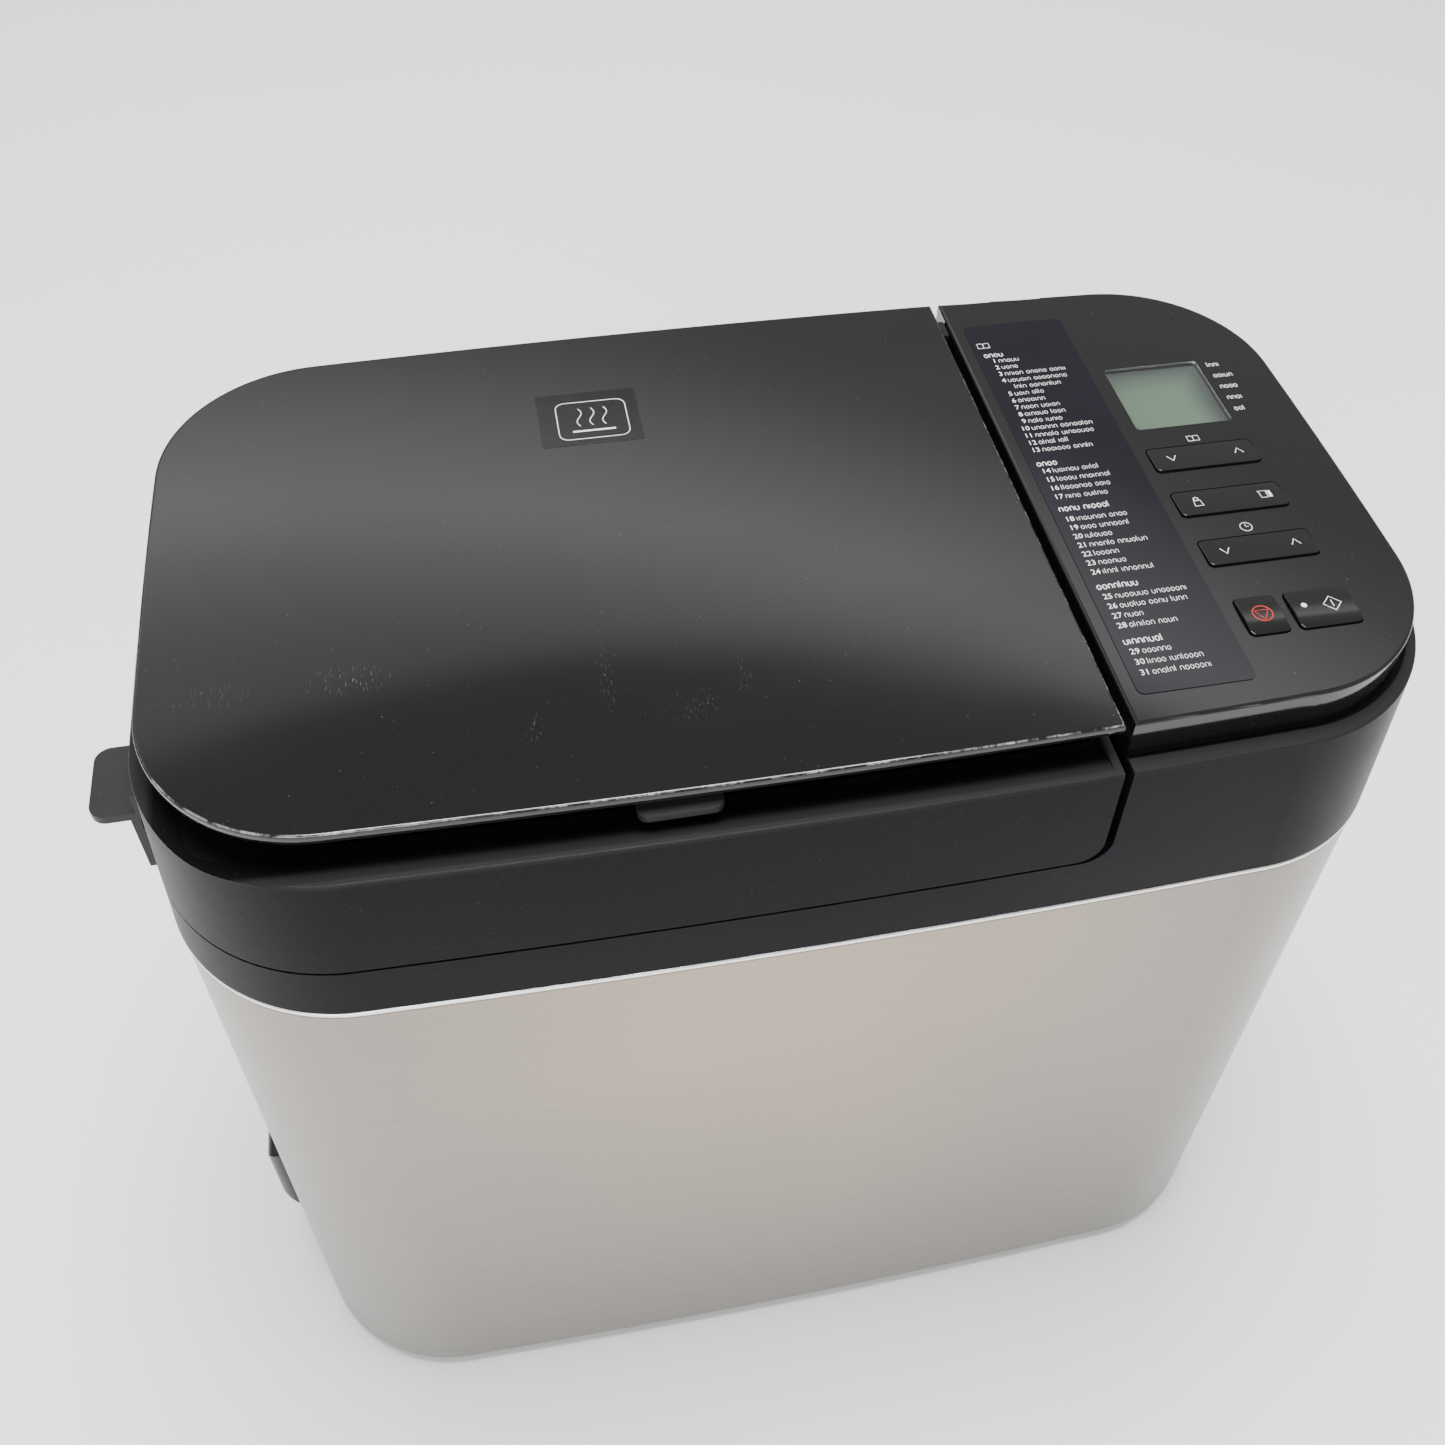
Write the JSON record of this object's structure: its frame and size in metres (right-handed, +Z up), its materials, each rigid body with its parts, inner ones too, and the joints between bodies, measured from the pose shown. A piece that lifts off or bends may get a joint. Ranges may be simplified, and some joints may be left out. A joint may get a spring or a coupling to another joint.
{
  "type": "bread machine",
  "caption": "Wide bread machine with a hinged lid, dispenser panel, baking pan with kneading blade and a control panel with display and keys.",
  "frame": {"origin": "middle of the footprint of the whole object, at the plane it stands on", "axes": "+Z up, +X to the control panel's end, +Y to the back, where the lid is hinged"},
  "size_m": [0.408, 0.2317, 0.3595],
  "materials": {
    "brushed_stainless": "fine horizontal brushing, satin",
    "gloss_black": "high gloss moulding with hairline scratches",
    "key_black": "gloss key caps",
    "matt_black": "fine spark-eroded texture",
    "label_black": "satin label, pale print",
    "clear_window": "clear polished window",
    "display_green": "grey-green display",
    "lamp_white": "frosted lens",
    "circuit_board": "solder resist",
    "switch_black": "moulded",
    "galvanised_steel": "zinc coated sheet",
    "bright_steel": "bright turned steel",
    "heater_steel": "heat-darkened tube",
    "white_ceramic": "unglazed ceramic",
    "coated_pan": "speckled non-stick coating",
    "cast_aluminium": "as cast",
    "lid_sheet": "satin sheet",
    "bail_steel": "satin rod",
    "bush_brass": "turned",
    "motor_metal": "varnished laminations",
    "pulley_white": "natural moulding",
    "dispenser_grey": "smooth moulding",
    "flap_metal": "satin coated sheet",
    "grey_silicone": "soft silicone",
    "black_rubber": "soft"
  },
  "bodies": {
    "body": {"base_tray": "matt_black", "rubber_feet": "black_rubber", "base_screws": "bright_steel", "stainless_wrap": "brushed_stainless", "body_collar": "matt_black", "hinge_brackets": "matt_black", "hinge_pins": "bright_steel", "mains_gland": "matt_black", "chassis_plate": "galvanised_steel", "chassis_screws": "bright_steel", "bearing_housing": "cast_aluminium", "drive_belt": "black_rubber", "motor_body": "motor_metal", "oven_chamber": "galvanised_steel", "heating_element": "heater_steel", "heater_brackets": "galvanised_steel", "heater_terminals": "white_ceramic", "thermistor": "bright_steel", "pan_lock_ring": "galvanised_steel", "heat_shield": "galvanised_steel", "power_board": "circuit_board", "control_fascia": "gloss_black", "programme_label": "label_black", "lcd_window": "clear_window", "lcd_module": "display_green", "control_board": "circuit_board", "key_switches": "switch_black"},
    "lid": {"lid_frame": "matt_black", "lid_inner_shield": "lid_sheet", "lid_screws": "bright_steel", "lid_handle": "matt_black", "raisin_dispenser": "dispenser_grey", "yeast_dispenser": "dispenser_grey", "dispenser_solenoid": "motor_metal", "panel_hinge_pins": "bright_steel"},
    "top_panel": {"top_panel_plate": "gloss_black", "top_panel_frame": "matt_black", "panel_tab": "matt_black", "panel_gasket": "grey_silicone"},
    "raisin_flap": {"raisin_flap": "flap_metal"},
    "yeast_flap": {"yeast_flap": "flap_metal"},
    "pan": {"pan_shell": "coated_pan", "pan_foot": "cast_aluminium", "pan_bush": "bush_brass"},
    "pan_handle": {"pan_handle": "bail_steel"},
    "kneader": {"pan_shaft": "bright_steel", "pan_coupling": "cast_aluminium", "kneading_blade": "coated_pan"},
    "drive": {"drive_shaft": "bright_steel", "drive_pulley": "pulley_white", "drive_coupling": "cast_aluminium"},
    "rotor": {"motor_shaft": "bright_steel", "motor_pulley": "pulley_white", "motor_fan": "pulley_white"},
    "select_key": {"select_key": "key_black"},
    "size_crust_key": {"size_crust_key": "key_black"},
    "timer_key": {"timer_key": "key_black"},
    "stop_key": {"stop_key": "key_black"},
    "start_key": {"start_key": "key_black", "start_lamp": "lamp_white"}
  },
  "joints": [
    {"name": "lid_hinge", "type": "hinge", "parent": "body", "child": "lid", "pos_m": [-0.048, 0.11035, 0.3], "axis": [-1, 0, 0], "range_deg": [0, 85]},
    {"name": "top_panel_hinge", "type": "hinge", "parent": "lid", "child": "top_panel", "pos_m": [-0.046, 0.09035, 0.3496], "axis": [-1, 0, 0], "range_deg": [0, 75]},
    {"name": "raisin_flap_hinge", "type": "hinge", "parent": "lid", "child": "raisin_flap", "pos_m": [-0.1372, -0.00665, 0.3035], "axis": [0, 1, 0], "range_deg": [0, 80]},
    {"name": "yeast_flap_hinge", "type": "hinge", "parent": "lid", "child": "yeast_flap", "pos_m": [-0.0302, -0.00665, 0.3035], "axis": [0, 1, 0], "range_deg": [0, 80]},
    {"name": "pan_twist", "type": "hinge", "parent": "body", "child": "pan", "pos_m": [-0.049, -0.00665, 0.088], "axis": [0, 0, 1], "range_deg": [0, 6]},
    {"name": "pan_handle_swing", "type": "hinge", "parent": "pan", "child": "pan_handle", "pos_m": [-0.049, -0.00665, 0.214], "axis": [-1, 0, 0], "range_deg": [0, 180]},
    {"name": "drive_spin", "type": "hinge", "parent": "body", "child": "drive", "pos_m": [-0.049, -0.00665, 0.04], "axis": [0, 0, 1], "continuous": true},
    {"name": "kneader_spin", "type": "hinge", "parent": "body", "child": "kneader", "pos_m": [-0.049, -0.00665, 0.1], "axis": [0, 0, 1], "continuous": true},
    {"name": "motor_spin", "type": "hinge", "parent": "body", "child": "rotor", "pos_m": [0.134, -0.00665, 0.06], "axis": [0, 0, 1], "continuous": true},
    {"name": "select_key_rock", "type": "hinge", "parent": "body", "child": "select_key", "pos_m": [0.1538, -0.0019, 0.3539], "axis": [0, 1, 0], "range_deg": [-1.2, 1.2], "stiffness_Nm_per_rad": 0.5},
    {"name": "size_crust_key_rock", "type": "hinge", "parent": "body", "child": "size_crust_key", "pos_m": [0.1538, -0.0237, 0.3539], "axis": [0, 1, 0], "range_deg": [-1.2, 1.2], "stiffness_Nm_per_rad": 0.5},
    {"name": "timer_key_rock", "type": "hinge", "parent": "body", "child": "timer_key", "pos_m": [0.1538, -0.0463, 0.3539], "axis": [0, 1, 0], "range_deg": [-1.2, 1.2], "stiffness_Nm_per_rad": 0.5},
    {"name": "stop_key_press", "type": "slide", "parent": "body", "child": "stop_key", "axis": [0, 0, -1], "range_m": [0, 0.0007], "stiffness_N_per_m": 400, "springref_m": -0.001},
    {"name": "start_key_press", "type": "slide", "parent": "body", "child": "start_key", "axis": [0, 0, -1], "range_m": [0, 0.0007], "stiffness_N_per_m": 400, "springref_m": -0.001}
  ],
  "couplings": [
    {"joint": "kneader_spin", "follows": "drive_spin", "ratio": 1},
    {"joint": "motor_spin", "follows": "drive_spin", "ratio": 4.2}
  ]
}
